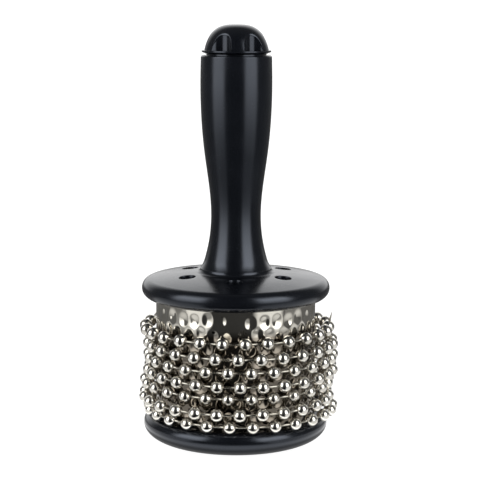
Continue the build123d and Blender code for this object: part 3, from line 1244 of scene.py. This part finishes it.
@dataclass
class ChainLoop:
    """One loop of ball chain: round beads, and links whose heads are held inside them."""

    number: int
    bead_radius: float = 2.75
    bead_hole_radius: float = 0.7
    bead_columns: int = 12
    bead_rings: int = 7
    bead_crease: float = 180.0
    facet_allowance: float = 1.02
    wire_radius: float = 0.48
    head_radius: float = 0.975
    head_offset: float = 1.225
    link_columns: int = 8
    link_crease: float = 60.0
    bead_count: int = 26
    body: str = field(init=False)
    centre: Array = field(init=False)
    radius: float = field(init=False)
    turns: Array = field(init=False)

    def __post_init__(self) -> None:
        """Read the loop's centre, radius and bead angles from the frame.

        A bead's angle is found from the mean of exp(i n a) over the angles a of all points of
        the n beads, because the beads stand evenly round the loop.
        """
        self.body = f"chain_{self.number}"
        joint = next(joint for joint in frame["joints"] if joint["child"] == self.body)
        self.centre = np.array(joint["pos_m"]) / METRES_PER_MM
        points = mesh_points(frame["nodes"][f"{self.body}_beads"].data) - self.centre
        spread = points[:, 0] + 1j * points[:, 1]
        self.radius = np.abs(spread).max() - self.bead_radius
        first = np.angle(np.mean((spread / np.abs(spread)) ** self.bead_count)) / self.bead_count
        self.turns = first + np.arange(self.bead_count) * FULL_TURN / self.bead_count

    def along_chain(self, line: Array, columns: int) -> Array:
        """Carry a line round the chain's own way, which lies along Y at the loop's +X side.

        Args:
            line: place along the chain and radius there, rows by 2.
            columns: how many angles.

        Returns:
            Grid of points about the chain's middle line.
        """
        angle = (np.arange(columns) + 0.5) * FULL_TURN / columns
        place = np.broadcast_to(line[:, :1], (len(line), columns))
        return np.stack([line[:, 1:] * np.cos(angle), place, line[:, 1:] * np.sin(angle)], axis=-1)

    def bead(self) -> Array:
        """A ball cut flat at its two holes, as rings from hole to hole.

        Its points stand a little outside the ball, so that its flat faces cross the ball's surface.

        Returns:
            Grid of points, rings by columns by 3.
        """
        size = self.bead_radius * self.facet_allowance
        hole = math.asin(self.bead_hole_radius / size)
        swing = np.linspace(hole, math.pi - hole, self.bead_rings)
        ball = np.column_stack([-size * np.cos(swing), size * np.sin(swing)])
        ends = ball[[0, -1]] * np.array([1.0, 0.0])
        grid = self.along_chain(np.concatenate([ends[:1], ball, ends[1:]]), self.bead_columns)
        return grid + np.array([self.radius, 0, 0])

    def link(self) -> Array:
        """A wire with a head at each end, from one bead to the next.

        Returns:
            Grid of points, rings by columns by 3.
        """
        half_step = math.pi / self.bead_count
        reach = self.radius * math.sin(half_step) - self.head_offset
        neck = math.sqrt(self.head_radius**2 - self.wire_radius**2)
        half = [
            (reach - neck, self.wire_radius),
            (reach, self.head_radius),
            (reach + self.head_radius, 0.0),
        ]
        line = np.array([(-place, size) for place, size in half[::-1]] + half)
        middle = np.array([self.radius * math.cos(half_step), 0, 0])
        grid = self.along_chain(line, self.link_columns) + middle
        return turned_copies(grid, np.array([half_step]))[0]

    def round_off(self, obj: bpy.types.Object) -> None:
        """Give each bead's points the exact normals of a ball, away from the bead's centre.

        Args:
            obj: the loop's beads.
        """
        points = mesh_points(obj.data) - self.centre
        step = FULL_TURN / self.bead_count
        turn = np.arctan2(points[:, 1], points[:, 0])
        nearest = self.turns[0] + np.round((turn - self.turns[0]) / step) * step
        away = points - round_grid(self.radius, nearest, 0.0)
        normals = away / np.linalg.norm(away, axis=1)[:, None]
        obj.data.normals_split_custom_set_from_vertices(normals.tolist())

    def ring(self, name: str, points: Array, crease: float) -> bpy.types.Object:
        """Copies of a bead or a link all round the loop, as one object."""
        copies = turned_copies(points, self.turns) + self.centre
        return make_object(f"{self.body}_{name}", [Patch(copy) for copy in copies], crease)

    def build(self, bead_material: Material, wire_material: Material) -> None:
        """Make the loop's beads and links.

        Args:
            bead_material: finish of the beads.
            wire_material: finish of the links.
        """
        beads = self.ring("ball_beads", self.bead(), self.bead_crease)
        self.round_off(beads)
        dress(beads, self.body, f"{self.body}_beads", bead_material)
        links = self.ring("wire_links", self.link(), self.link_crease)
        dress(links, self.body, f"{self.body}_links", wire_material)


# Studio


@dataclass(frozen=True)
class SoftBox:
    """A tall soft light beside the camera, given by the angles that it fills seen from the drum.

    Its side is -1 to the left and 1 to the right. The light fades in over the inner span and out
    over the outer span.
    """

    side: float
    inner: Span
    outer: Span

    def edge(self, nodes: ShaderTree, azimuth: Socket, span: Span, target: Span) -> Socket:
        """Value that changes over a span of angles on the light's side."""
        aside = nodes.maths("MULTIPLY", azimuth, self.side)
        return nodes.ranged(aside, (math.radians(span[0]), math.radians(span[1])), target)

    def beyond(self, nodes: ShaderTree, azimuth: Socket) -> Socket:
        """How far a direction lies past the light's inner edge, from 0 to 1."""
        return self.edge(nodes, azimuth, self.inner, (0.0, 1.0))

    def share(self, nodes: ShaderTree, azimuth: Socket) -> Socket:
        """How much of the light shows in a direction, from 0 to 1."""
        fall = self.edge(nodes, azimuth, self.outer, (1.0, 0.0))
        return nodes.maths("MULTIPLY", self.beyond(nodes, azimuth), fall)


@dataclass
class Studio:
    """Camera, light, floor and backdrop.

    The photograph's light is two tall soft boxes beside a dark camera side, a white backdrop and
    a white table that ends a little in front of the object. Spans of the world's light are parts
    of a direction of length 1: upwards, backwards or towards the camera.
    """

    camera_distance: float = 693.3
    camera_elevation: float = 8.61
    target_height: float = 85.7
    aim_right: float = 1.74
    camera_roll: float = 0.19
    lens: float = 122.3
    sensor: float = 36.0
    left_box: SoftBox = SoftBox(-1.0, (35.0, 43.0), (76.0, 84.0))
    right_box: SoftBox = SoftBox(1.0, (24.0, 32.0), (66.0, 73.0))
    box_foot: float = 0.3
    box_middle: float = 1.8
    box_top: float = 4.2
    foot_span: Span = (-0.3, -0.06)
    climb_span: Span = (-0.13, 0.35)
    top_span: Span = (0.5, 0.85)
    room_front: float = 0.04
    room_sides: float = 0.14
    room_span: Span = (0.5, 0.0)
    backdrop: float = 1.2
    backdrop_span: Span = (0.55, 0.9)
    horizon_span: Span = (-0.02, 0.06)
    floor_radius: float = 4000.0
    floor_middle: float = 500.0
    floor_columns: int = 64
    floor_colour: str = "#8c8c8c"
    floor_roughness: float = 0.9
    floor_glow: float = 0.96
    table_half_width: float = 330.0
    table_front: float = 105.0
    table_back: float = 70.0
    table_shade: float = 0.35
    table_glow: float = 1.6
    table_end: float = 0.3
    table_sides: float = 0.55
    shade_back: float = 6.0
    shade_radius: float = 44.0
    glow_radius: float = 48.0
    ring_radius: float = 53.0
    ring_end: float = 62.0

    def camera(self) -> None:
        """Place the camera at the photograph's view."""
        lift = math.radians(self.camera_elevation)
        back = Vector((0, -math.cos(lift), math.sin(lift)))
        target = Vector((self.aim_right, 0, self.target_height))
        eye = Vector((0, 0, self.target_height)) + back * self.camera_distance
        data = bpy.data.cameras.new("camera")
        data.lens = self.lens
        data.sensor_width = self.sensor
        obj = bpy.data.objects.new("camera", data)
        look = (target - eye).to_track_quat("-Z", "Y").to_matrix().to_4x4()
        roll = Matrix.Rotation(math.radians(self.camera_roll), 4, "Z")
        obj.matrix_world = Matrix.Translation(eye * METRES_PER_MM) @ look @ roll
        bpy.context.scene.collection.objects.link(obj)
        bpy.context.scene.camera = obj

    def floor(self) -> None:
        """Make the pale floor, a disc of rings round the origin that mirrors don't show."""
        line = np.array([(0.0, 0.0), (self.floor_middle, 0.0), (self.floor_radius, 0.0)])
        floor = make_object("floor", [Patch(turned(line, self.floor_columns))])
        material = bpy.data.materials.new("white_floor")
        inputs = {
            "Base Color": colour(self.floor_colour),
            "Roughness": self.floor_roughness,
            "Emission Color": colour("#ffffff"),
            "Emission Strength": self.floor_glow,
        }
        ShaderTree(material).surface("BsdfPrincipled", inputs)
        floor.data.materials.append(material)
        floor.visible_glossy = False

    def table_light(self, nodes: ShaderTree) -> Socket:
        """Brightness of the table at a place.

        It is the product of three: a step from the object's shade to the lit table, a fade
        outwards, and the larger of the sides' share and a ring near the object.

        Args:
            nodes: tree of the table's material.

        Returns:
            Output with the brightness.
        """
        place = nodes.place()
        shade = (0.0, self.shade_back * METRES_PER_MM, 0.0)
        apart = nodes.add("VectorMath", {0: place, 1: shade}, operation="SUBTRACT").outputs[0]
        away_metres = nodes.add("VectorMath", {0: apart}, operation="LENGTH").outputs["Value"]
        away = nodes.maths("DIVIDE", away_metres, METRES_PER_MM)
        lit = nodes.ranged(away, (self.shade_radius, self.glow_radius), (self.table_shade, self.table_glow))
        fade = nodes.ranged(away, (self.table_front, self.table_half_width), (1.0, self.table_end))
        azimuth = nodes.facing(place)[2]
        beside = nodes.maths(
            "ADD", self.left_box.beyond(nodes, azimuth), self.right_box.beyond(nodes, azimuth)
        )
        sides = nodes.maths("MULTIPLY", beside, self.table_sides)
        ring = nodes.ranged(away, (self.ring_radius, self.ring_end), (1.0, 0.0))
        seen = nodes.maths("MAXIMUM", sides, ring)
        return nodes.maths("MULTIPLY", nodes.maths("MULTIPLY", lit, fade), seen)

    def table(self) -> None:
        """Make the lit table that only gloss shows.

        It is shaded by the object, less so in front, fades outwards, and is dark farther in front,
        where its own gloss mirrors the dark camera side.
        """
        half_width = self.table_half_width
        x, y = np.meshgrid([-half_width, half_width], [-self.table_front, self.table_back])
        table = make_object("lit_table", [Patch(np.stack([x, y, np.zeros_like(x)], -1), columns_close=False)])
        material = bpy.data.materials.new("lit_white_table")
        nodes = ShaderTree(material)
        nodes.surface("Emission", {"Strength": self.table_light(nodes)})
        table.data.materials.append(material)
        table.visible_camera = False
        table.visible_diffuse = False
        table.visible_shadow = False

    def world(self) -> None:
        """Soft boxes, backdrop and dim room as light from all round, and plain white to the eye.

        By direction, the light is the boxes' share times a brightness that grows with height,
        plus the backdrop behind the object, plus the room, which is darker in front.
        """
        world = bpy.data.worlds.new("studio_world")
        nodes = ShaderTree(world)
        front, up, azimuth = nodes.facing(nodes.add("TexCoord").outputs["Generated"])
        shares = nodes.maths("ADD", self.left_box.share(nodes, azimuth), self.right_box.share(nodes, azimuth))
        rise = nodes.ranged(up, self.foot_span, (self.box_foot, self.box_middle))
        climb = nodes.ranged(up, self.climb_span, (0.0, self.box_top - self.box_middle))
        top = nodes.ranged(up, self.top_span, (1.0, 0.0))
        glow = nodes.maths("MULTIPLY", nodes.maths("ADD", rise, climb), top)
        boxes = nodes.maths("MULTIPLY", shares, glow)
        behind = nodes.ranged(nodes.maths("MULTIPLY", front, -1.0), self.backdrop_span)
        above = nodes.ranged(up, self.horizon_span, (0.0, self.backdrop))
        back = nodes.maths("MULTIPLY", behind, above)
        room = nodes.ranged(front, self.room_span, (self.room_front, self.room_sides))
        level = nodes.maths("ADD", nodes.maths("ADD", boxes, back), room)
        eye = nodes.add("LightPath").outputs["Is Camera Ray"]
        seen = nodes.add("Mix", {0: eye, 2: level, 3: self.backdrop}, data_type="FLOAT").outputs[0]
        shader = nodes.add("Background", {"Color": colour("#ffffff"), "Strength": seen})
        nodes.add("OutputWorld", {"Surface": shader.outputs[0]})
        bpy.context.scene.world = world

    def build(self) -> None:
        """Set up the whole studio."""
        self.camera()
        self.floor()
        self.table()
        self.world()
        bpy.context.scene.view_settings.view_transform = "Standard"


def kept_finishes(wire: Material) -> dict[str, Material]:
    """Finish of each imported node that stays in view.

    Args:
        wire: finish of the chain's wire.

    Returns:
        Node's name to its finish.
    """
    screws = BrightMetal(
        "black_oxide_steel", clean="#121213", dull="#0b0b0c", roughness=0.35, dull_roughness=0.5
    ).build()
    zinc = BrightMetal(
        "zinc_plated_steel", clean="#b9bcc0", dull="#989ca2", roughness=0.3, dull_roughness=0.42
    ).build()
    brass = BrightMetal("turned_brass", clean="#c9a455", dull="#a98743", roughness=0.25, dull_roughness=0.4)
    return {
        "chain_1_wire_tail": wire,
        "drum_core": TurnedWood("bare_turned_pine").build(),
        "flange_screws": screws,
        "base_screws": screws,
        "handle_bolt": zinc,
        "bolt_washer": zinc,
        "handle_insert": brass.build(),
    }


def main() -> None:
    """Build the studio and the pieces in order."""
    logging.basicConfig(level=logging.INFO, format="%(name)s %(message)s")
    Studio().build()
    plastic = MouldedPlastic("black_moulded_abs").build()
    cap_plastic = MouldedPlastic("black_moulded_cap", roughness=0.16, rub_and_shade_roughness=0.2).build()
    nickel = BrightMetal("nickel_plated_beads").build()
    wire = BrightMetal("bright_nickel_wire", clean="#b6b2a8", dull="#9d988d", roughness=0.22).build()
    Handle().build(plastic)
    EndCap().build(cap_plastic)
    drum_low, drum_high = node_box("sleeve")
    TopFlange("top_flange", "flange_disc", Side.ABOVE, drum_high[2]).build(plastic)
    Base("base", "base_disc", Side.BELOW, drum_low[2]).build(plastic)
    Sleeve().build(PaintedShadeSheet("bright_pressed_sheet").build())
    loop_count = sum(1 for body in frame["bodies"] if body.startswith("chain_"))
    for number in range(1, loop_count + 1):
        ChainLoop(number).build(nickel, wire)
    for node, material in kept_finishes(wire).items():
        dress_node(node, material)


if __name__ == "__main__":
    main()
